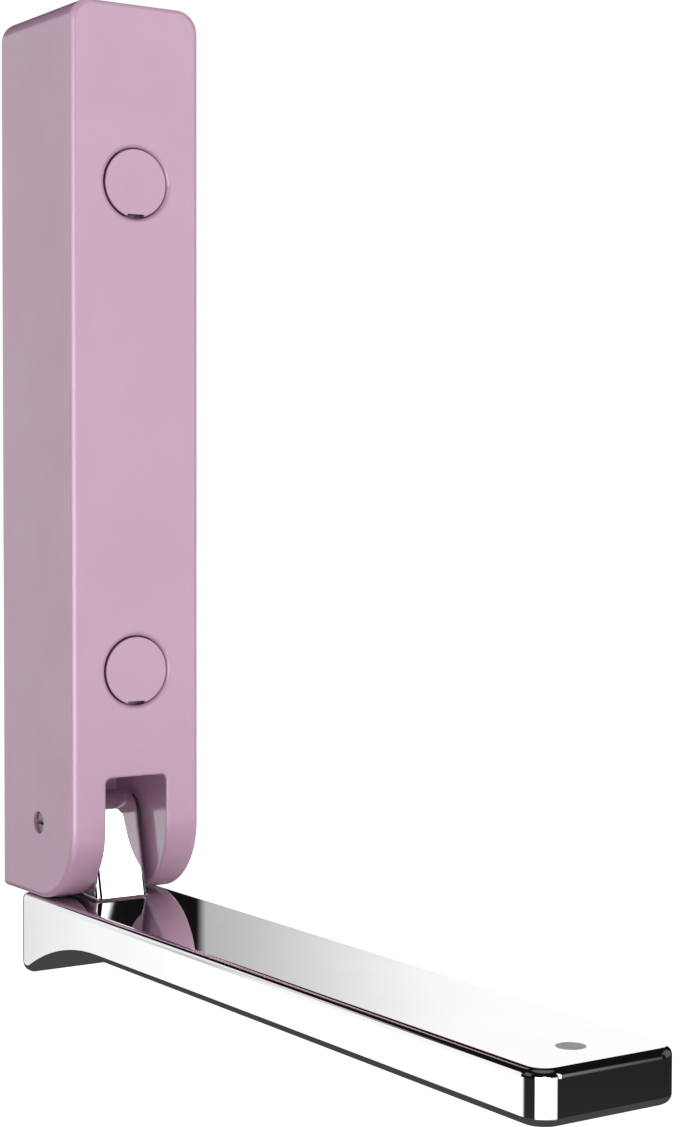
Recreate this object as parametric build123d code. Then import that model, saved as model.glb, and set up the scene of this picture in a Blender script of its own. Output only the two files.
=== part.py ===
from build123d import *
import math
import os

# A folding wall hook. A lacquered cast housing screws to the wall, and a chrome arm swings up about
# a pivot pin between the two prongs at its foot. The arm is modelled down, ready for use.
# X runs along the wall to the right, +Y points into the wall and +Z is up. The wall face is Y = 0,
# and the origin lies midway between the two wall screws. All sizes are in millimetres.

# Housing casting
HOUSING_HEIGHT = 160.0
HOUSING_WIDTH = 25.6
HOUSING_DEPTH = 28.0
HOUSING_WALL = 2.6
TOP_CORNER_RADIUS = 4.0
PRONG_RADIUS = 13.6
HOUSING_EDGE_RADIUS = 1.0
CORE_CORNER_RADIUS = 1.5
RIB_THICKNESS = 2.0
RIB_SETBACK = 2.0
RIB_OFFSETS = (16.4, 33.4)

# Slot between the prongs
SLOT_WIDTH = 12.3
SLOT_HEIGHT = 22.6
SLOT_CORNER_RADIUS = 1.2
SLOT_EDGE_RADIUS = 0.4

# Wall screws, and the wells and caps over them
LOWER_SCREW_HEIGHT = 41.6
UPPER_SCREW_FROM_TOP = 31.6
SCREW_HOLE_DIAMETER = 6.0
SCREW_SEAT_THICKNESS = 4.0
WELL_WALL = 2.4
WELL_RIM_RADIUS = 0.8
CAP_DIAMETER = 12.1
CAP_THICKNESS = 2.0
CAP_RIM_GAP = 0.2
CAP_SEAT_WIDTH = 0.45
CAP_SKIRT_LENGTH = 5.0
CAP_SKIRT_WALL = 0.9
CAP_BEAD_HEIGHT = 0.2
CAP_BEAD_LENGTH = 0.8
CAP_SLIT_WIDTH = 1.6
CAP_EDGE_RADIUS = 0.15
CAP_NOTCH_WIDTH = 3.4
CAP_NOTCH_DEPTH = 0.6

# Arm casting: a flat bar, a neck up into the slot, and a foot that curls down at the rear
ARM_SIDE_SETBACK = 0.3
ARM_THICKNESS = 7.7
ARM_TIP_SETBACK = 2.3
ARM_REAR_DEPTH = 6.2
ARM_TIP_CORNER_RADIUS = 3.8
ARM_TOP_EDGE_RADIUS = 1.2
ARM_LOWER_EDGE_RADIUS = 1.3
FOOT_HEIGHT = 14.5
FOOT_LIP_LENGTH = 3.3
FOOT_LIP_RADIUS = 1.8
ARCH_RADIUS = 55.0
KNUCKLE_RADIUS = 5.2
NECK_FRONT_REACH = 8.5
NECK_EDGE_RADIUS = 1.0
NECK_ROOT_RADIUS = 0.6
HEEL_WIDTH = 6.0
HEEL_LOW = 1.0
HEEL_HIGH = 6.0

# Pivot: pin, flanged bushes and the grub screw that locks the pin
PIN_DIAMETER = 4.0
PIN_RECESS = 0.5
PIN_END_WALL = 2.2
PIN_SLOT_WIDTH = 0.8
PIN_SLOT_DEPTH = 0.8
PIN_FLAT_DEPTH = 0.3
PIN_FLAT_LENGTH = 4.0
BUSH_WALL = 0.75
BUSH_SLEEVE_LENGTH = 4.6
BUSH_FLANGE_DIAMETER = 8.0
BUSH_FLANGE_THICKNESS = 0.85
GRUB_DIAMETER = 3.0
GRUB_LENGTH = 5.0
GRUB_FROM_PIN_END = 1.2
GRUB_SOCKET_WIDTH = 1.5
GRUB_SOCKET_DEPTH = 1.6

# Magnet in the arm and steel keeper behind the housing's front
MAGNET_DIAMETER = 4.2
MAGNET_LENGTH = 3.0
MAGNET_FROM_TIP = 8.7
KEEPER_DIAMETER = 8.0
KEEPER_THICKNESS = 2.0
KEEPER_COVER = 1.0
KEEPER_BOSS_WALL = 1.6
KEEPER_BOSS_HEIGHT = 2.6

# Clearances
ARM_GAP = 0.3
KNUCKLE_GAP = 0.4
HEEL_GAP = 0.1
RUNNING_CLEARANCE = 0.04
PRESS_CLEARANCE = 0.02
FLANGE_GAP = 0.1
GRUB_GAP = 0.03

# Places worked out from the sizes above
SCREW_SPACING = HOUSING_HEIGHT - LOWER_SCREW_HEIGHT - UPPER_SCREW_FROM_TOP
FOOT_Z = -(LOWER_SCREW_HEIGHT + SCREW_SPACING / 2)
PIVOT_Y = PRONG_RADIUS - HOUSING_DEPTH
PIVOT_Z = FOOT_Z + PRONG_RADIUS
CORE_FLOOR_Y = HOUSING_WALL - HOUSING_DEPTH
SLOT_BACK_Y = PIVOT_Y + KNUCKLE_RADIUS + KNUCKLE_GAP
SCREW_HEIGHTS = (-SCREW_SPACING / 2, SCREW_SPACING / 2)
WELL_DIAMETER = CAP_DIAMETER - 2 * CAP_SEAT_WIDTH
ARM_WIDTH = HOUSING_WIDTH - 2 * ARM_SIDE_SETBACK
NECK_WIDTH = SLOT_WIDTH - 2 * (BUSH_FLANGE_THICKNESS + FLANGE_GAP)
PIN_RIGHT_END = HOUSING_WIDTH / 2 - PIN_END_WALL
GRUB_X = PIN_RIGHT_END - GRUB_FROM_PIN_END
ARM_TOP_Z = FOOT_Z - ARM_GAP
ARM_UNDER_Z = ARM_TOP_Z - ARM_THICKNESS
# Folded up, the arm has turned a quarter about the pivot. It then ends a little below the housing's
# top, and its magnet stands as far above the pivot as it lies in front of the pivot at rest.
FOLDED_REACH = HOUSING_HEIGHT - PRONG_RADIUS - ARM_TIP_SETBACK
ARM_TIP_Y = PIVOT_Y - FOLDED_REACH
MAGNET_Y = ARM_TIP_Y + MAGNET_FROM_TIP
KEEPER_Z = PIVOT_Z + FOLDED_REACH - MAGNET_FROM_TIP
CAP_SEAT_Y = CAP_THICKNESS - HOUSING_DEPTH


def box_between(low, high):
    """A box given by two opposite corners."""
    size = [b - a for a, b in zip(low, high)]
    middle = [(a + b) / 2 for a, b in zip(low, high)]
    return Pos(*middle) * Box(*size)


def rod_y(diameter, start, end, x=0.0, z=0.0):
    """A round bar along Y between two depths."""
    return Pos(x, (start + end) / 2, z) * Rot(90, 0, 0) * Cylinder(diameter / 2, abs(end - start))


def rod_x(diameter, start, end):
    """A round bar along the pivot axis between two X values."""
    return Pos((start + end) / 2, PIVOT_Y, PIVOT_Z) * Rot(0, 90, 0) * Cylinder(diameter / 2, end - start)


def near(value, target, tolerance=0.02):
    """True where two lengths agree, as far as picking an edge needs."""
    return abs(value - target) < tolerance


def span(edge, axis):
    """The lowest and highest value of an edge along X, Y or Z."""
    box = edge.bounding_box()
    return getattr(box.min, axis), getattr(box.max, axis)


def lies_at(edge, axis, value):
    """True where the whole edge lies in the plane at this value of the axis."""
    low, high = span(edge, axis)
    return near(low, value) and near(high, value)


def housing_outside():
    """The housing's outer form, with its rounded prongs and its soft front edges."""
    middle_z = FOOT_Z + HOUSING_HEIGHT / 2
    front = Plane.XZ * (Pos(0, middle_z) * Rectangle(HOUSING_WIDTH, HOUSING_HEIGHT))
    front = fillet(front.vertices().sort_by(Axis.Z)[-2:], TOP_CORNER_RADIUS)
    block = extrude(front, HOUSING_DEPTH)

    side = Plane.YZ * (Pos(-HOUSING_DEPTH / 2, middle_z) * Rectangle(HOUSING_DEPTH, HOUSING_HEIGHT))
    toe = [v for v in side.vertices() if near(v.Y, -HOUSING_DEPTH) and near(v.Z, FOOT_Z)]
    side = fillet(toe, PRONG_RADIUS)
    block &= extrude(side, HOUSING_WIDTH, both=True)

    soft = []
    for edge in block.edges():
        on_front = lies_at(edge, "Y", -HOUSING_DEPTH) and not lies_at(edge, "Z", PIVOT_Z)
        on_side = any(lies_at(edge, "X", side_x) for side_x in (-HOUSING_WIDTH / 2, HOUSING_WIDTH / 2))
        below_pivot = span(edge, "Z")[1] < PIVOT_Z + 0.02
        if on_front or (on_side and below_pivot and not lies_at(edge, "Y", 0)):
            soft.append(edge)
    return fillet(soft, HOUSING_EDGE_RADIUS)


def slot_cut():
    """The space between the prongs, open at the front and below."""
    low = FOOT_Z - HOUSING_WALL
    high = FOOT_Z + SLOT_HEIGHT
    mouth = Plane.XZ * (Pos(0, (low + high) / 2) * Rectangle(SLOT_WIDTH, high - low))
    mouth = fillet(mouth.vertices().sort_by(Axis.Z)[-2:], SLOT_CORNER_RADIUS)
    return Pos(0, SLOT_BACK_Y, 0) * extrude(mouth, HOUSING_DEPTH)


def soften_slot(body):
    """Round the slot's rim on the front face and along both prongs."""
    rim = []
    for edge in body.edges():
        low_x, high_x = span(edge, "X")
        inside = low_x > -SLOT_WIDTH / 2 - 0.02 and high_x < SLOT_WIDTH / 2 + 0.02
        on_front = lies_at(edge, "Y", -HOUSING_DEPTH)
        on_prong = span(edge, "Z")[1] < PIVOT_Z + 0.02 and span(edge, "Y")[0] < SLOT_BACK_Y - 0.5
        along_slot = near(low_x, high_x) and near(abs(low_x), SLOT_WIDTH / 2)
        if inside and span(edge, "Z")[1] < FOOT_Z + SLOT_HEIGHT + 0.02:
            if on_front or (on_prong and along_slot):
                rim.append(edge)
    return fillet(rim, SLOT_EDGE_RADIUS)


def core_cut():
    """The hollow cast in from the wall side, behind the slot and above it."""
    half = HOUSING_WIDTH / 2 - HOUSING_WALL
    low = FOOT_Z + SLOT_HEIGHT + HOUSING_WALL
    high = FOOT_Z + HOUSING_HEIGHT - HOUSING_WALL
    plan = Plane.XZ * (Pos(0, (low + high) / 2) * Rectangle(2 * half, high - low))
    plan = fillet(plan.vertices(), CORE_CORNER_RADIUS)
    core = extrude(plan, -CORE_FLOOR_Y)
    behind_slot = box_between(
        (-half, SLOT_BACK_Y + HOUSING_WALL, FOOT_Z + HOUSING_WALL),
        (half, 0, low + HOUSING_WALL),
    )
    return core + behind_slot


def core_filling():
    """What stands inside the hollow: screw wells with their webs, cross ribs and the keeper's boss."""
    half = HOUSING_WIDTH / 2 - HOUSING_WALL / 2
    front_y = CORE_FLOOR_Y - HOUSING_WALL / 2
    parts = []
    for height in SCREW_HEIGHTS:
        parts.append(rod_y(WELL_DIAMETER + 2 * WELL_WALL, front_y, 0, z=height))
    lower_screw, upper_screw = SCREW_HEIGHTS
    rib_centres = [lower_screw, upper_screw]
    for offset in RIB_OFFSETS:
        rib_centres += [lower_screw + offset, upper_screw - offset]
    for height in rib_centres:
        parts.append(
            box_between(
                (-half, front_y, height - RIB_THICKNESS / 2),
                (half, -RIB_SETBACK, height + RIB_THICKNESS / 2),
            )
        )
    boss_diameter = KEEPER_DIAMETER + 2 * KEEPER_BOSS_WALL
    parts.append(rod_y(boss_diameter, front_y, CORE_FLOOR_Y + KEEPER_BOSS_HEIGHT, z=KEEPER_Z))
    return parts


def well_cuts(height):
    """One screw's well: the cap's recess, the bore with its snap groove and the hole to the wall."""
    groove_start = CAP_SEAT_Y + CAP_SKIRT_LENGTH - 2 * CAP_BEAD_LENGTH
    return [
        rod_y(CAP_DIAMETER + 2 * CAP_RIM_GAP, -HOUSING_DEPTH - 1, CAP_SEAT_Y, z=height),
        rod_y(WELL_DIAMETER, CAP_SEAT_Y - 1, -SCREW_SEAT_THICKNESS, z=height),
        rod_y(
            WELL_DIAMETER + 2 * CAP_BEAD_HEIGHT + 2 * CAP_RIM_GAP,
            groove_start,
            groove_start + 2 * CAP_BEAD_LENGTH,
            z=height,
        ),
        rod_y(SCREW_HOLE_DIAMETER, -SCREW_SEAT_THICKNESS - 1, 1, z=height),
    ]


def make_housing():
    body = housing_outside() - slot_cut()
    body = soften_slot(body)
    body -= core_cut()
    for part in core_filling():
        body += part
    for height in SCREW_HEIGHTS:
        for cut in well_cuts(height):
            body -= cut
    keeper_floor = KEEPER_COVER - HOUSING_DEPTH
    body -= rod_y(KEEPER_DIAMETER + 2 * PRESS_CLEARANCE, keeper_floor, -RIB_SETBACK, z=KEEPER_Z)
    bore = PIN_DIAMETER + 2 * PRESS_CLEARANCE
    body -= rod_x(bore, -HOUSING_WIDTH / 2 - 1, PIN_RIGHT_END + PRESS_CLEARANCE)
    body -= rod_y(
        GRUB_DIAMETER + 2 * PRESS_CLEARANCE, PIVOT_Y, HOUSING_WALL, x=GRUB_X, z=PIVOT_Z
    )
    rims = [
        edge
        for edge in body.edges().filter_by(GeomType.CIRCLE)
        if lies_at(edge, "Y", -HOUSING_DEPTH) and near(edge.radius, CAP_DIAMETER / 2 + CAP_RIM_GAP)
    ]
    return fillet(rims, WELL_RIM_RADIUS)


def make_cap(height):
    """A flush plug: disc with a pry notch below, and a slit skirt with a snap bead."""
    disc = rod_y(CAP_DIAMETER, -HOUSING_DEPTH, CAP_SEAT_Y, z=height)
    face_edge = [e for e in disc.edges() if lies_at(e, "Y", -HOUSING_DEPTH)]
    disc = fillet(face_edge, CAP_EDGE_RADIUS)

    skirt_diameter = WELL_DIAMETER - 2 * PRESS_CLEARANCE
    skirt_end = CAP_SEAT_Y + CAP_SKIRT_LENGTH
    bead_middle = skirt_end - CAP_BEAD_LENGTH
    skirt = rod_y(skirt_diameter, CAP_SEAT_Y, skirt_end, z=height)
    skirt += rod_y(
        skirt_diameter + 2 * CAP_BEAD_HEIGHT,
        bead_middle - CAP_BEAD_LENGTH / 2,
        bead_middle + CAP_BEAD_LENGTH / 2,
        z=height,
    )
    skirt -= rod_y(skirt_diameter - 2 * CAP_SKIRT_WALL, CAP_SEAT_Y, skirt_end, z=height)
    for angle in (0, 90):
        slit = Box(CAP_DIAMETER, CAP_SKIRT_LENGTH, CAP_SLIT_WIDTH)
        middle_y = (CAP_SEAT_Y + skirt_end) / 2 + CAP_BEAD_LENGTH
        skirt -= Pos(0, middle_y, height) * Rot(0, angle + 45, 0) * slit
    notch = box_between(
        (-CAP_NOTCH_WIDTH / 2, -HOUSING_DEPTH - 1, height - CAP_DIAMETER),
        (CAP_NOTCH_WIDTH / 2, CAP_SEAT_Y, height - CAP_DIAMETER / 2 + CAP_NOTCH_DEPTH),
    )
    return disc + skirt - notch


def arm_side():
    """The bar and foot seen from the side: the arch rises from the lip into the bar's underside."""
    lip_z = ARM_TOP_Z - FOOT_HEIGHT
    drop = ARM_UNDER_Z - lip_z
    arch_reach = math.sqrt(ARCH_RADIUS**2 - (ARCH_RADIUS - drop) ** 2)
    lip_front = (-ARM_REAR_DEPTH - FOOT_LIP_LENGTH, lip_z)
    arch_start = (lip_front[0] - arch_reach, ARM_UNDER_Z)
    half_angle = math.asin(arch_reach / ARCH_RADIUS) / 2
    arch_middle = (
        arch_start[0] + ARCH_RADIUS * math.sin(half_angle),
        arch_start[1] - ARCH_RADIUS * (1 - math.cos(half_angle)),
    )
    rear_top = (-ARM_REAR_DEPTH, ARM_TOP_Z)
    rear_low = (-ARM_REAR_DEPTH, lip_z)
    tip_low = (ARM_TIP_Y, ARM_UNDER_Z)
    tip_top = (ARM_TIP_Y, ARM_TOP_Z)
    outline = [
        Line(rear_top, rear_low),
        Line(rear_low, lip_front),
        ThreePointArc(lip_front, arch_middle, arch_start),
        Line(arch_start, tip_low),
        Line(tip_low, tip_top),
        Line(tip_top, rear_top),
    ]
    side = make_face([Plane.YZ * line for line in outline])
    lip = [v for v in side.vertices() if near(v.Z, lip_z)]
    return fillet(lip, FOOT_LIP_RADIUS)


def make_bar():
    """The arm's bar and foot as one body, with its rounded tip and edges."""
    bar = extrude(arm_side(), ARM_WIDTH / 2, both=True)
    tip = []
    for edge in bar.edges():
        if near(edge.center().Y, ARM_TIP_Y) and near(abs(edge.center().X), ARM_WIDTH / 2):
            tip.append(edge)
    bar = fillet(tip, ARM_TIP_CORNER_RADIUS)

    # The small radius runs along both sides and round the tip below, and not up the seams where the
    # sides pass into the tip's round corners.
    tip_start = ARM_TIP_Y + ARM_TIP_CORNER_RADIUS
    lower = []
    for edge in bar.edges():
        on_side = any(lies_at(edge, "X", side_x) for side_x in (-ARM_WIDTH / 2, ARM_WIDTH / 2))
        on_top = lies_at(edge, "Z", ARM_TOP_Z)
        tip_seam = lies_at(edge, "Y", tip_start)
        round_tip = lies_at(edge, "Z", ARM_UNDER_Z) and span(edge, "Y")[0] < tip_start
        if (on_side and not on_top and not tip_seam) or round_tip:
            lower.append(edge)
    bar = fillet(lower, ARM_LOWER_EDGE_RADIUS)
    top = [e for e in bar.edges() if lies_at(e, "Z", ARM_TOP_Z)]
    return fillet(top, ARM_TOP_EDGE_RADIUS)


def make_neck():
    """The neck: a knuckle round the pivot, with a front that slopes down to the bar."""
    root_z = ARM_TOP_Z - ARM_THICKNESS / 2
    reach = NECK_FRONT_REACH
    drop = PIVOT_Z - ARM_TOP_Z
    # The front is the tangent from the point where it meets the bar's top to the knuckle.
    distance = math.hypot(reach, drop)
    turn = math.atan2(-drop, -reach) - math.acos(KNUCKLE_RADIUS / distance)
    tangent = (PIVOT_Y + KNUCKLE_RADIUS * math.cos(turn), PIVOT_Z + KNUCKLE_RADIUS * math.sin(turn))
    front_top = (PIVOT_Y - reach, ARM_TOP_Z)
    slope = (tangent[0] - front_top[0]) / (tangent[1] - front_top[1])
    front_root = (front_top[0] - slope * (front_top[1] - root_z), root_z)
    rear_root = (PIVOT_Y + KNUCKLE_RADIUS, root_z)
    rear_tangent = (PIVOT_Y + KNUCKLE_RADIUS, PIVOT_Z)
    crown = (PIVOT_Y, PIVOT_Z + KNUCKLE_RADIUS)
    outline = [
        Line(front_root, tangent),
        ThreePointArc(tangent, crown, rear_tangent),
        Line(rear_tangent, rear_root),
        Line(rear_root, front_root),
    ]
    side = make_face([Plane.YZ * line for line in outline])
    neck = extrude(side, NECK_WIDTH / 2, both=True)
    long_edges = []
    for edge in neck.edges():
        on_side = any(lies_at(edge, "X", side_x) for side_x in (-NECK_WIDTH / 2, NECK_WIDTH / 2))
        if on_side and not lies_at(edge, "Z", root_z):
            long_edges.append(edge)
    neck = fillet(long_edges, NECK_EDGE_RADIUS)
    heel = box_between(
        (-HEEL_WIDTH / 2, PIVOT_Y, FOOT_Z + HEEL_LOW),
        (HEEL_WIDTH / 2, SLOT_BACK_Y - HEEL_GAP, FOOT_Z + HEEL_HIGH),
    )
    return neck + heel


def make_arm():
    arm = make_bar() + make_neck()
    root = []
    for edge in arm.edges():
        low_x, high_x = span(edge, "X")
        within_neck = low_x > -NECK_WIDTH / 2 - 0.02 and high_x < NECK_WIDTH / 2 + 0.02
        before_rear = span(edge, "Y")[1] < PIVOT_Y + KNUCKLE_RADIUS + 0.02
        if within_neck and before_rear and lies_at(edge, "Z", ARM_TOP_Z):
            root.append(edge)
    arm = fillet(root, NECK_ROOT_RADIUS)
    bore = PIN_DIAMETER + 2 * RUNNING_CLEARANCE + 2 * BUSH_WALL + 2 * PRESS_CLEARANCE
    arm -= rod_x(bore, -NECK_WIDTH, NECK_WIDTH)
    pocket = Pos(0, MAGNET_Y, ARM_TOP_Z - MAGNET_LENGTH / 2)
    return arm - pocket * Cylinder(MAGNET_DIAMETER / 2 + PRESS_CLEARANCE, MAGNET_LENGTH)


def make_magnet():
    place = Pos(0, MAGNET_Y, ARM_TOP_Z - MAGNET_LENGTH / 2)
    return place * Cylinder(MAGNET_DIAMETER / 2, MAGNET_LENGTH)


def make_keeper():
    floor_y = KEEPER_COVER - HOUSING_DEPTH
    return rod_y(KEEPER_DIAMETER, floor_y, floor_y + KEEPER_THICKNESS, z=KEEPER_Z)


def make_pin():
    """The pivot pin: slotted at its left end, with a flat near its right end for the grub screw."""
    left = PIN_RECESS - HOUSING_WIDTH / 2
    pin = rod_x(PIN_DIAMETER, left, PIN_RIGHT_END)
    pin = chamfer(pin.edges().filter_by(GeomType.CIRCLE), PIN_FLAT_DEPTH)
    pin -= box_between(
        (left - 1, PIVOT_Y - PIN_DIAMETER, PIVOT_Z - PIN_SLOT_WIDTH / 2),
        (left + PIN_SLOT_DEPTH, PIVOT_Y + PIN_DIAMETER, PIVOT_Z + PIN_SLOT_WIDTH / 2),
    )
    flat_y = PIVOT_Y + PIN_DIAMETER / 2 - PIN_FLAT_DEPTH
    return pin - box_between(
        (PIN_RIGHT_END - PIN_FLAT_LENGTH, flat_y, PIVOT_Z - PIN_DIAMETER),
        (PIN_RIGHT_END + 1, flat_y + PIN_DIAMETER, PIVOT_Z + PIN_DIAMETER),
    )


def make_bush(side):
    """A flanged bush, pressed into the neck from one side: -1 is the left one, 1 the right one."""
    bore = PIN_DIAMETER + 2 * RUNNING_CLEARANCE
    outside = bore + 2 * BUSH_WALL
    face = NECK_WIDTH / 2
    flange_end = face + BUSH_FLANGE_THICKNESS
    sleeve_start = face - BUSH_SLEEVE_LENGTH
    lows = sorted((side * sleeve_start, side * face))
    flange = sorted((side * face, side * flange_end))
    bush = rod_x(outside, lows[0], lows[1]) + rod_x(BUSH_FLANGE_DIAMETER, flange[0], flange[1])
    return bush - rod_x(bore, -HOUSING_WIDTH, HOUSING_WIDTH)


def make_grub_screw():
    """The grub screw bears on the pin's flat and has a hexagon socket at its outer end."""
    inner = PIVOT_Y + PIN_DIAMETER / 2 - PIN_FLAT_DEPTH + GRUB_GAP
    outer = inner + GRUB_LENGTH
    screw = rod_y(GRUB_DIAMETER, inner, outer, x=GRUB_X, z=PIVOT_Z)
    hexagon = RegularPolygon(GRUB_SOCKET_WIDTH / 2, 6, major_radius=False)
    socket = extrude(Plane.XZ.offset(-outer) * hexagon, GRUB_SOCKET_DEPTH)
    return screw - Pos(GRUB_X, 0, PIVOT_Z) * socket


def main():
    os.makedirs("parts", exist_ok=True)
    lower_screw, upper_screw = SCREW_HEIGHTS
    nodes = {
        "housing": make_housing(),
        "lower_cover_cap": make_cap(lower_screw),
        "upper_cover_cap": make_cap(upper_screw),
        "arm": make_arm(),
        "pivot_pin": make_pin(),
        "left_bush": make_bush(-1),
        "right_bush": make_bush(1),
        "pin_grub_screw": make_grub_screw(),
        "arm_magnet": make_magnet(),
        "steel_keeper": make_keeper(),
    }
    for name, shape in nodes.items():
        export_step(shape, f"parts/{name}.step")
        print(name, round(shape.volume, 1), shape.bounding_box())


main()
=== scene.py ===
# %% [markdown]
# # A folding wall hook
# A lacquered housing stands on the wall, and a chromed arm swings down from the slot at its foot.
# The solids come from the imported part. This lesson gives them their finishes, sets the soft studio
# light that polished metal needs, and puts the camera where the photograph was taken from.

# %% Load the part
import math
import bpy
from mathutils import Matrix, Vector

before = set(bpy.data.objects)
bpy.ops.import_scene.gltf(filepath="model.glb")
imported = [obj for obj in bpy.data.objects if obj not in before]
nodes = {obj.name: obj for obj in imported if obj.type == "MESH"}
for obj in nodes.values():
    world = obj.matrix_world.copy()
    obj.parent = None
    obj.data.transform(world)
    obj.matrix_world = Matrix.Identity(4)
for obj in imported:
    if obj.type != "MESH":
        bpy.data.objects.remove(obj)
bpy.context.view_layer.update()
print("nodes:", ", ".join(sorted(nodes)))

# %% [markdown]
# ## Camera
# The photograph looks at the hook from its left and a little from above, with a long lens. The
# place and the turns below were worked out from the edges of the housing and the arm in the
# photograph. A camera that stands free needs three turns: which way it faces, how far it looks
# down, and here a trace of tilt. It needs no sideways shift, since it aims at the middle of the
# picture.

# %% Camera
PICTURE_HEIGHT = 1127   # the photograph's pixels, from top to bottom
FOCAL_LENGTH = 2250.0   # in the same pixels
SENSOR = 36             # millimetres, along the picture's longer side
YAW = math.radians(33.716)
PITCH = math.radians(2.17)
ROLL = math.radians(-0.119)
CAMERA_PLACE = (-0.192897, -0.382544, -0.00888)

lens = bpy.data.cameras.new("long_lens")
lens.sensor_width = SENSOR
lens.sensor_fit = "AUTO"
lens.lens = FOCAL_LENGTH / PICTURE_HEIGHT * SENSOR
lens.clip_start = 0.02
lens.clip_end = 60
camera = bpy.data.objects.new("camera", lens)
bpy.context.scene.collection.objects.link(camera)
camera.location = CAMERA_PLACE
camera.rotation_mode = "XYZ"
camera.rotation_euler = (math.pi / 2 - PITCH, ROLL, -YAW)
bpy.context.scene.camera = camera
print("lens", round(lens.lens, 1), "mm, from", CAMERA_PLACE)

# %% [markdown]
# ## Helpers for node trees
# Every finish below is a small tree of nodes, and so is the light of the room. Writing each node
# out in full would hide what a tree does, so four helpers keep the cells short: one joins or sets
# an input, one adds any node, one adds a Math node, and one turns a value smoothly into another.

# %% Node helpers
def feed(tree, socket, term):
    """Join another node's output to an input, or set the input to a plain value."""
    if hasattr(term, "is_output"):
        tree.links.new(term, socket)
    else:
        socket.default_value = term


def add_node(tree, kind, **values):
    """Add a node, and set its properties or its inputs by name."""
    node = tree.nodes.new(kind)
    for name, value in values.items():
        if hasattr(node, name):
            setattr(node, name, value)
        else:
            feed(tree, node.inputs[name.replace("_", " ")], value)
    return node


def math_node(tree, operation, *terms):
    """Add a Math node; each term is a number or another node's output."""
    node = add_node(tree, "ShaderNodeMath", operation=operation)
    for socket, term in zip(node.inputs, terms):
        feed(tree, socket, term)
    return node.outputs[0]


def map_range(tree, value, low, high, to_low=0.0, to_high=1.0):
    """Turn a value between low and high smoothly into one between to_low and to_high."""
    node = add_node(
        tree,
        "ShaderNodeMapRange",
        interpolation_type="SMOOTHSTEP",
        Value=value,
        From_Min=low,
        From_Max=high,
        To_Min=to_low,
        To_Max=to_high,
    )
    return node.outputs["Result"]


print("node helpers ready")

# %% [markdown]
# ## What the chrome sees
# Polished chrome has hardly any look of its own: it shows the room. A photographer therefore
# stands white panels round the object and leaves black gaps between them, and each face of the arm
# picks one of the two. Real panels could be modelled as glowing sheets. Here the room is the world
# instead, so that nothing stands in the picture's way: each panel is a window in azimuth and
# height with soft edges, measured in degrees from the direction that the reflected ray takes. A
# group holds one window.

# %% Node groups
def new_group(name, inputs, outputs):
    """Start a shader node group; inputs are (name, kind, value), outputs are (name, kind)."""
    group = bpy.data.node_groups.new(name, "ShaderNodeTree")
    for label, kind, value in inputs:
        socket = group.interface.new_socket(label, in_out="INPUT", socket_type=kind)
        socket.default_value = value
    for label, kind in outputs:
        group.interface.new_socket(label, in_out="OUTPUT", socket_type=kind)
    return group, group.nodes.new("NodeGroupInput"), group.nodes.new("NodeGroupOutput")


print("group helper ready")

# %% Panel group
panel, panel_in, panel_out = new_group(
    "Panel",
    (
        ("Azimuth", "NodeSocketFloat", 0.0),
        ("Height", "NodeSocketFloat", 0.0),
        ("Centre", "NodeSocketFloat", 0.0),
        ("Half Width", "NodeSocketFloat", 20.0),
        ("Low", "NodeSocketFloat", -10.0),
        ("High", "NodeSocketFloat", 10.0),
        ("Side Edge", "NodeSocketFloat", 3.0),
        ("Top Edge", "NodeSocketFloat", 3.0),
    ),
    (("Mask", "NodeSocketFloat"),),
)
get = panel_in.outputs
offset = math_node(panel, "SUBTRACT", get["Azimuth"], get["Centre"])
aside = math_node(panel, "ABSOLUTE", math_node(panel, "WRAP", offset, 180.0, -180.0))
side_start = math_node(panel, "ADD", get["Half Width"], get["Side Edge"])
side_full = math_node(panel, "SUBTRACT", get["Half Width"], get["Side Edge"])
across = map_range(panel, aside, side_start, side_full)
low_start = math_node(panel, "SUBTRACT", get["Low"], get["Top Edge"])
low_full = math_node(panel, "ADD", get["Low"], get["Top Edge"])
above = map_range(panel, get["Height"], low_start, low_full)
high_start = math_node(panel, "ADD", get["High"], get["Top Edge"])
high_full = math_node(panel, "SUBTRACT", get["High"], get["Top Edge"])
below = map_range(panel, get["Height"], high_start, high_full)
mask = math_node(panel, "MULTIPLY", math_node(panel, "MULTIPLY", across, above), below)
panel.links.new(mask, panel_out.inputs["Mask"])
print("panel group:", len(panel.nodes), "nodes")

# %% [markdown]
# ## The room
# The world's Generated coordinates are the direction of a ray. Its azimuth is counted from
# straight at the wall towards the right, and its height up from level. The back panels light the
# arm's top and left side, and the front ones its neck and the round corner of its tip. Narrow
# bright strips draw the clear lines along the lacquer's edges. The last three are dim, so that the
# chrome never goes fully black when someone walks round the hook.

# %% World directions
world = bpy.data.worlds.new("studio")
bpy.context.scene.world = world
world.use_nodes = True
world.cycles.sampling_method = "NONE"
room = world.node_tree
room.nodes.clear()
direction = add_node(room, "ShaderNodeSeparateXYZ")
room.links.new(add_node(room, "ShaderNodeTexCoord").outputs["Generated"], direction.inputs[0])
turned_by = math_node(room, "ARCTAN2", direction.outputs["X"], direction.outputs["Y"])
azimuth = math_node(room, "MULTIPLY", turned_by, math.degrees(1))
raised_by = math_node(room, "ARCSINE", direction.outputs["Z"])
height = math_node(room, "MULTIPLY", raised_by, math.degrees(1))
print("world directions:", len(room.nodes), "nodes")

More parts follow.
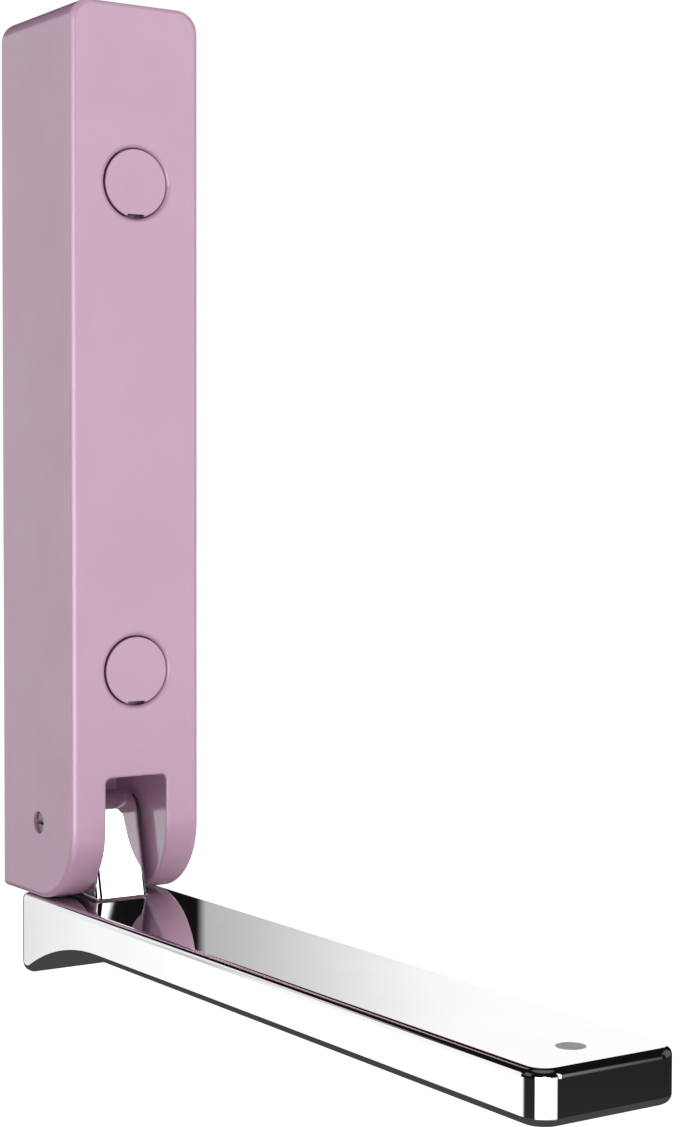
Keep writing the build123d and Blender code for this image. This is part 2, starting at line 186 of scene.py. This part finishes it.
# %% Panels
# name: centre, half width, low, high, side edge and top edge in degrees, and brightness
PANELS = {
    "back left": (-40, 17, -16.9, -10, 7, 0.8, 1.08),
    "back left high": (-21.5, 9.5, -9.5, 24, 1.5, 1.5, 0.9),
    "back left rise": (-41, 9, -10, 17, 2.5, 1.5, 1.0),
    "back right": (40.8, 10.6, -6, 20, 0.15, 2.5, 1.04),
    "front left": (-155, 45, -26, 4, 2.5, 5, 1.08),
    "left strip": (-140, 30, -16, 9, 1.5, 4, 3.3),
    "left strip top": (-147.5, 6, 5, 20, 1.5, 3, 2.4),
    "front strip": (151.1, 5, -10, 22, 0.2, 5, 1.84),
    "front strip high": (149.2, 2.4, 14, 42, 0.14, 4, 1.8),
    "low glow": (150, 9, -6, 22, 5, 8, 0.3),
    "overhead": (0, 400, 66, 95, 5, 4, 0.11),
    "far left": (-74, 16, 10, 40, 4, 4, 0.11),
    "far right": (98, 22, -6, 36, 6, 6, 0.11),
}
PANEL_INPUTS = ("Centre", "Half Width", "Low", "High", "Side Edge", "Top Edge")
FADED_PANEL = "back right"             # it grows brighter to the right, along the arm's top
FADE = (28.6, 38.0, 0.42, 1.0)         # between these azimuths, by these factors
BETWEEN = (-26.0, -9.5, 0.06, 0.006)   # the gaps: between these heights, from grey to black

light = map_range(room, height, *BETWEEN)
for name, (*window_values, level) in PANELS.items():
    window = add_node(room, "ShaderNodeGroup", node_tree=panel, label=name)
    for label, value in zip(PANEL_INPUTS, window_values):
        window.inputs[label].default_value = value
    room.links.new(azimuth, window.inputs["Azimuth"])
    room.links.new(height, window.inputs["Height"])
    glow = math_node(room, "MULTIPLY", window.outputs["Mask"], level)
    if name == FADED_PANEL:
        glow = math_node(room, "MULTIPLY", glow, map_range(room, azimuth, *FADE))
    light = math_node(room, "ADD", light, glow)
print("panels:", ", ".join(PANELS))

# %% [markdown]
# ## Which ray sees what
# A ray that comes off a glossy surface finds the panels, and a ray from the camera finds plain
# white, as behind the photographed hook. All other rays find one even grey: it lights lacquer and
# floor softly, and the panels' stripes leave no patches on them.

# %% World output
SOFT_LEVEL = 0.36
WHITE = (1, 1, 1, 1)
path = add_node(room, "ShaderNodeLightPath")
plain = add_node(room, "ShaderNodeBackground", Color=WHITE, Strength=SOFT_LEVEL)
white = add_node(room, "ShaderNodeBackground", Color=WHITE, Strength=1.0)
panels = add_node(room, "ShaderNodeBackground", Color=WHITE, Strength=light)
through = math_node(
    room, "MAXIMUM", path.outputs["Is Camera Ray"], path.outputs["Is Transmission Ray"]
)


def choose(tree, factor, first_shader, second_shader):
    """Pass the first shader where the factor is 0, and the second where it is 1."""
    mix = add_node(tree, "ShaderNodeMixShader")
    for socket, output in zip(mix.inputs, (factor, first_shader, second_shader)):
        tree.links.new(output, socket)
    return mix.outputs[0]


lit = choose(room, path.outputs["Is Glossy Ray"], plain.outputs[0], panels.outputs[0])
seen_world = choose(room, through, lit, white.outputs[0])
world_output = add_node(room, "ShaderNodeOutputWorld")
room.links.new(seen_world, world_output.inputs["Surface"])
print("soft light level", SOFT_LEVEL)

# %% [markdown]
# ## Lamps
# The lacquer gets its form from lamps. A large soft key lamp stands straight in front of the hook,
# low down, so the housing's front is its brightest face. A weaker lamp on the left reaches the
# housing's side, but not the inside of the slot, which stays dark as in the photograph. A third
# hangs above. The foot lamp is a small narrow beam: the prongs' round ends look down at the floor
# and would be too dark without it. All four are kept out of the mirror reflections, which the
# panels make.

# %% Lamps
# name: place and aim in metres, width in metres, spread in degrees, and power in watts
LAMPS = {
    "key": ((0.10, -1.33, -0.02), (0, 0, 0), 0.9, 180, 9.5),
    "side": ((-1.30, 0.10, 0.30), (0, 0, 0), 0.8, 180, 3.75),
    "top": ((-0.20, 0.10, 1.20), (0, 0, 0), 0.5, 180, 2.6),
    "foot": ((0.22, -0.44, -0.070), (0, -0.028, -0.118), 0.06, 18, 0.006),
}
for name, (place, aim, width, spread, power) in LAMPS.items():
    lamp = bpy.data.lights.new(name, "AREA")
    lamp.size = width
    lamp.spread = math.radians(spread)
    lamp.energy = power
    stand = bpy.data.objects.new(name, lamp)
    bpy.context.scene.collection.objects.link(stand)
    stand.location = place
    stand.rotation_mode = "QUATERNION"
    stand.rotation_quaternion = (Vector(aim) - Vector(place)).to_track_quat("-Z", "Y")
    stand.visible_glossy = False
    stand.visible_camera = False
    print(name, "lamp", power, "W")

# %% [markdown]
# ## Floor
# The floor is a plain pale sheet well below the hook, which hangs on a wall and stands on nothing.
# It sends a little light back up. A faint glow that only the camera sees keeps it as white as the
# background, so that no horizon cuts through the picture.

# %% Floor
FLOOR_Z = -0.55
FLOOR_WIDTH = 30
FLOOR_COLOUR = (0.9, 0.9, 0.9, 1)
FLOOR_GLOW = 0.75
bpy.ops.object.select_all(action="DESELECT")
bpy.ops.mesh.primitive_plane_add(size=FLOOR_WIDTH, location=(0, 0, FLOOR_Z))
floor = bpy.context.object
floor.name = "floor"
paper = bpy.data.materials.new("white_floor")
paper.use_nodes = True
paper_tree = paper.node_tree
paper_tree.nodes.clear()
seen = add_node(paper_tree, "ShaderNodeLightPath")
level = math_node(paper_tree, "MULTIPLY", seen.outputs["Is Camera Ray"], FLOOR_GLOW)
matt = add_node(paper_tree, "ShaderNodeBsdfDiffuse", Color=FLOOR_COLOUR)
glow = add_node(paper_tree, "ShaderNodeEmission", Color=WHITE, Strength=level)
both = add_node(paper_tree, "ShaderNodeAddShader")
paper_tree.links.new(matt.outputs[0], both.inputs[0])
paper_tree.links.new(glow.outputs[0], both.inputs[1])
add_node(paper_tree, "ShaderNodeOutputMaterial", Surface=both.outputs[0])
floor.data.materials.append(paper)
floor.visible_glossy = False
print("floor at", FLOOR_Z)

# %% [markdown]
# ## Shared surface effects
# Two effects turn up in several finishes. Soft patches, where a surface is a touch duller or
# brighter from handling and polishing, come from a broad noise. Fine grain, the orange peel of a
# lacquer or the pitting of a blasted metal, comes from a tight noise. Each is a group with its own
# scale, and both read Object coordinates, so the pattern stays on the piece when the arm swings.

# %% Soft patches group
patches, patches_in, patches_out = new_group(
    "SoftPatches",
    (("Scale", "NodeSocketFloat", 40.0), ("Contrast", "NodeSocketFloat", 0.2)),
    (("Mask", "NodeSocketFloat"),),
)
spot = add_node(patches, "ShaderNodeTexCoord").outputs["Object"]
cloud = add_node(patches, "ShaderNodeTexNoise", Vector=spot, Detail=3.0, Roughness=0.55)
patches.links.new(patches_in.outputs["Scale"], cloud.inputs["Scale"])
low_edge = math_node(patches, "SUBTRACT", 0.5, patches_in.outputs["Contrast"])
high_edge = math_node(patches, "ADD", 0.5, patches_in.outputs["Contrast"])
patches.links.new(
    map_range(patches, cloud.outputs["Fac"], low_edge, high_edge), patches_out.inputs["Mask"]
)
print("soft patches group:", len(patches.nodes), "nodes")

# %% Fine grain group
grain, grain_in, grain_out = new_group(
    "FineGrain",
    (("Scale", "NodeSocketFloat", 900.0), ("Stretch", "NodeSocketVector", (1.0, 1.0, 1.0))),
    (("Height", "NodeSocketFloat"),),
)
spot = add_node(grain, "ShaderNodeTexCoord").outputs["Object"]
stretched = add_node(grain, "ShaderNodeVectorMath", operation="MULTIPLY")
grain.links.new(spot, stretched.inputs[0])
grain.links.new(grain_in.outputs["Stretch"], stretched.inputs[1])
speck = add_node(
    grain, "ShaderNodeTexNoise", Vector=stretched.outputs[0], Detail=2.0, Roughness=0.5
)
grain.links.new(grain_in.outputs["Scale"], speck.inputs["Scale"])
grain.links.new(speck.outputs["Fac"], grain_out.inputs["Height"])
print("fine grain group:", len(grain.nodes), "nodes")

# %% Helpers for a finish
def start_finish(name):
    """A new material with its Principled shader already joined to the output."""
    material = bpy.data.materials.new(name)
    material.use_nodes = True
    tree = material.node_tree
    tree.nodes.clear()
    shader = add_node(tree, "ShaderNodeBsdfPrincipled")
    add_node(tree, "ShaderNodeOutputMaterial", Surface=shader.outputs[0])
    return material, tree, shader


def blend_colour(tree, mask, first_colour, second_colour):
    """Go from the first colour to the second as the mask rises."""
    mix = add_node(tree, "ShaderNodeMix", data_type="RGBA")
    for label, term in (("Factor", mask), ("A", first_colour), ("B", second_colour)):
        feed(tree, mix.inputs[label], term)
    return mix.outputs["Result"]


def roughen(tree, shader, mask, low, high):
    """Let the roughness go from low to high as the mask rises."""
    tree.links.new(map_range(tree, mask, 0.0, 1.0, low, high), shader.inputs["Roughness"])


def raise_grain(tree, shader, depth, **grain_values):
    """Raise the surface by fine grain, up to this depth in metres."""
    pattern = add_node(tree, "ShaderNodeGroup", node_tree=grain, **grain_values)
    node = add_node(tree, "ShaderNodeBump", Distance=depth, Strength=1.0)
    tree.links.new(pattern.outputs["Height"], node.inputs["Height"])
    tree.links.new(node.outputs["Normal"], shader.inputs["Normal"])


def soft_patches(tree, scale, contrast):
    """The mask of the soft patches, at this scale and contrast."""
    group = add_node(tree, "ShaderNodeGroup", node_tree=patches, Scale=scale, Contrast=contrast)
    return group.outputs["Mask"]


print("finish helpers ready")

# %% [markdown]
# ## Lacquer
# The housing is a zinc casting, sprayed with a dusty pink lacquer and baked. The colour coat is
# satin and has a clear coat over it, and so a soft glow and a clearer highlight lie on top of each
# other. A fine orange peel breaks the highlights up a little, and broad patches change the tint
# and the gloss by a trace. The caps are sprayed with the same lacquer, so both finishes share
# these steps.

# %% Lacquer steps
PINK = (0.594, 0.360, 0.500, 1)
PINK_DEEP = (0.576, 0.346, 0.482, 1)
CLEAR_COAT = 1.0
CLEAR_COAT_ROUGHNESS = 0.18
PEEL_SCALE = 1400.0
PEEL_DEPTH = 0.00003


def start_lacquer(name):
    """A finish with the clear coat, the orange peel, the patches' mask and the tint of the coat."""
    material, tree, shader = start_finish(name)
    shader.inputs["Coat Weight"].default_value = CLEAR_COAT
    shader.inputs["Coat Roughness"].default_value = CLEAR_COAT_ROUGHNESS
    raise_grain(tree, shader, PEEL_DEPTH, Scale=PEEL_SCALE)
    patch_mask = soft_patches(tree, scale=55.0, contrast=0.22)
    return material, tree, shader, patch_mask, blend_colour(tree, patch_mask, PINK, PINK_DEEP)


def place_on_piece(tree):
    """The X, Y and Z of a point of the piece, in metres."""
    split = add_node(tree, "ShaderNodeSeparateXYZ")
    tree.links.new(add_node(tree, "ShaderNodeTexCoord").outputs["Object"], split.inputs[0])
    return split.outputs


print("lacquer steps ready")

# %% [markdown]
# ## The housing's own finish
# Along the sharp edges the lacquer's colour is painted paler, a painted highlight, and down in the
# two wells round the caps it is painted dark, painted shade. Both could be painted by hand. Masks
# that read the place on the piece are simpler here, since the edges run along the axes and the wells
# are round. The housing's own mesh says where its faces are.

# %% Housing lacquer
# Painted light: a paler pink along the edges is a painted highlight, and a dark colour in the wells
# is painted shade.
PINK_EDGE_HIGHLIGHT = (0.69, 0.435, 0.585, 1)
WELL_SHADE = (0.10, 0.05, 0.075, 1)
points = [vertex.co for vertex in nodes["housing"].data.vertices]
SIDE_X = max(point.x for point in points)
FRONT_Y = min(point.y for point in points)
TOP_Z = max(point.z for point in points)
EDGE_HIGHLIGHT_START, EDGE_HIGHLIGHT_FULL = 0.0014, 0.0002               # how far inside the side and the top
EDGE_HIGHLIGHT_FRONT_START, EDGE_HIGHLIGHT_FRONT_FULL = 0.0016, 0.0004   # how far behind the front
WELL_HEIGHT = 0.0434                                 # the wells' axes, above and below the middle
WELL_EDGE_OUT, WELL_EDGE_IN = 0.0068, 0.0064         # how far from the well's axis
WELL_SHADE_START, WELL_SHADE_FULL = 0.0004, 0.0008     # how far behind the front

lacquer, tree, shader, patch_mask, tint = start_lacquer("pink_lacquer")
place = place_on_piece(tree)
sideways = math_node(tree, "ABSOLUTE", place["X"])
near_side = map_range(tree, sideways, SIDE_X - EDGE_HIGHLIGHT_START, SIDE_X - EDGE_HIGHLIGHT_FULL)
near_front = map_range(
    tree, place["Y"], FRONT_Y + EDGE_HIGHLIGHT_FRONT_START, FRONT_Y + EDGE_HIGHLIGHT_FRONT_FULL
)
near_top = map_range(tree, place["Z"], TOP_Z - EDGE_HIGHLIGHT_START, TOP_Z - EDGE_HIGHLIGHT_FULL)
# The mask of the painted highlight along the side and top edges.
side_edges = math_node(tree, "MULTIPLY", near_side, near_front)
beside_top = math_node(tree, "MAXIMUM", near_side, near_front)
top_edges = math_node(tree, "MULTIPLY", near_top, beside_top)
edge_highlight_mask = math_node(tree, "MAXIMUM", side_edges, top_edges)

# The mask of the painted shade in the two wells round the caps.
up_or_down = math_node(tree, "ABSOLUTE", place["Z"])
from_centre = math_node(tree, "SUBTRACT", up_or_down, WELL_HEIGHT)
squares = [math_node(tree, "MULTIPLY", term, term) for term in (place["X"], from_centre)]
from_axis = math_node(tree, "SQRT", math_node(tree, "ADD", *squares))
round_well = map_range(tree, from_axis, WELL_EDGE_OUT, WELL_EDGE_IN)
deep = map_range(tree, place["Y"], FRONT_Y + WELL_SHADE_START, FRONT_Y + WELL_SHADE_FULL)
well_shade_mask = math_node(tree, "MULTIPLY", round_well, deep)

# The painted edge highlight and the painted shade in the wells go into the base colour.
tint = blend_colour(tree, edge_highlight_mask, tint, PINK_EDGE_HIGHLIGHT)
tint = blend_colour(tree, well_shade_mask, tint, WELL_SHADE)
tree.links.new(tint, shader.inputs["Base Color"])
roughen(tree, shader, patch_mask, 0.36, 0.42)
print("housing lacquer:", len(tree.nodes), "nodes")

# %% [markdown]
# ## The caps' finish
# A cap's rim is painted dark and made dull: painted shade in the gap round the cap and in its notch.
# That draws the thin ring round each cap, and the small notch that a blade goes into to lift it.

# %% Cap lacquer
# Painted shade: the dark colour on the cap's rim and in its notch, where the rim is also made
# duller.
RIM_SHADE = (0.20, 0.105, 0.155, 1)
RIM_START, RIM_FULL = 0.0001, 0.0004   # how far behind the front
cap_lacquer, tree, shader, patch_mask, tint = start_lacquer("cap_lacquer")
rim_shade_and_dull_mask = map_range(tree, place_on_piece(tree)["Y"], FRONT_Y + RIM_START, FRONT_Y + RIM_FULL)
tree.links.new(blend_colour(tree, rim_shade_and_dull_mask, tint, RIM_SHADE), shader.inputs["Base Color"])
roughen(tree, shader, rim_shade_and_dull_mask, 0.39, 0.8)
print("cap lacquer:", len(tree.nodes), "nodes")

# %% [markdown]
# ## Polished chrome
# The arm is zinc too, polished and chromed. Chrome is a metal, so it has no colour under its
# reflections. It is nearly a perfect mirror, and slightly duller where it has been wiped. A bump
# would make the mirror wavy, and the photographed arm is straight and true, so there is none.

# %% Polished chrome
CHROME = (0.93, 0.93, 0.935, 1)
CHROME_WIPED = (0.90, 0.90, 0.91, 1)
chrome, tree, shader = start_finish("polished_chrome")
wiped = soft_patches(tree, scale=70.0, contrast=0.2)
tree.links.new(blend_colour(tree, wiped, CHROME, CHROME_WIPED), shader.inputs["Base Color"])
shader.inputs["Metallic"].default_value = 1.0
roughen(tree, shader, wiped, 0.008, 0.022)
print("chrome:", len(tree.nodes), "nodes")

# %% [markdown]
# ## Steel, magnet and plastic
# The small pieces are plainer. The pin, the grub screw and the keeper are turned steel, with fine
# grooves across their length. The magnet has a matt plated end, and the bushes are dark moulded
# plastic. The three differ in numbers only, so one function makes them.

# %% Small pieces
def small_finish(name, colours, roughness, metallic, patch_scale, depth, **grain_values):
    """Patches between two colours and two roughnesses, with a fine grain over them."""
    material, tree, shader = start_finish(name)
    patch_mask = soft_patches(tree, scale=patch_scale, contrast=0.25)
    tree.links.new(blend_colour(tree, patch_mask, *colours), shader.inputs["Base Color"])
    roughen(tree, shader, patch_mask, *roughness)
    shader.inputs["Metallic"].default_value = metallic
    raise_grain(tree, shader, depth, **grain_values)
    print(name, "has", len(tree.nodes), "nodes")
    return material


steel = small_finish(
    "turned_steel",
    colours=((0.33, 0.32, 0.32, 1), (0.26, 0.25, 0.25, 1)),
    roughness=(0.28, 0.4),
    metallic=1.0,
    patch_scale=900.0,
    depth=0.00002,
    Scale=2500.0,
    Stretch=(1.0, 3.0, 3.0),
)
plated = small_finish(
    "matt_plate",
    colours=((0.62, 0.62, 0.62, 1), (0.575, 0.575, 0.577, 1)),
    roughness=(0.5, 0.6),
    metallic=0.3,
    patch_scale=700.0,
    depth=0.00001,
    Scale=6000.0,
)
moulded = small_finish(
    "moulded_plastic",
    colours=((0.045, 0.043, 0.045, 1), (0.032, 0.031, 0.033, 1)),
    roughness=(0.4, 0.5),
    metallic=0.0,
    patch_scale=600.0,
    depth=0.00002,
    Scale=5000.0,
)

# %% [markdown]
# ## Each piece gets its finish
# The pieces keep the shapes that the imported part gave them, and only their material slots are
# filled.

# %% Give each piece its finish
FINISHES = {
    "housing": lacquer,
    "lower_cover_cap": cap_lacquer,
    "upper_cover_cap": cap_lacquer,
    "arm": chrome,
    "pivot_pin": steel,
    "pin_grub_screw": steel,
    "steel_keeper": steel,
    "arm_magnet": plated,
    "left_bush": moulded,
    "right_bush": moulded,
}
for name, finish in FINISHES.items():
    for material_slot in nodes[name].material_slots:
        material_slot.material = finish
    print(name, "is", finish.name)

# %% [markdown]
# ## Picture
# The Standard view shows the colours as they were set.

# %% Picture settings
bpy.context.scene.view_settings.view_transform = "Standard"
print("view:", bpy.context.scene.view_settings.view_transform)
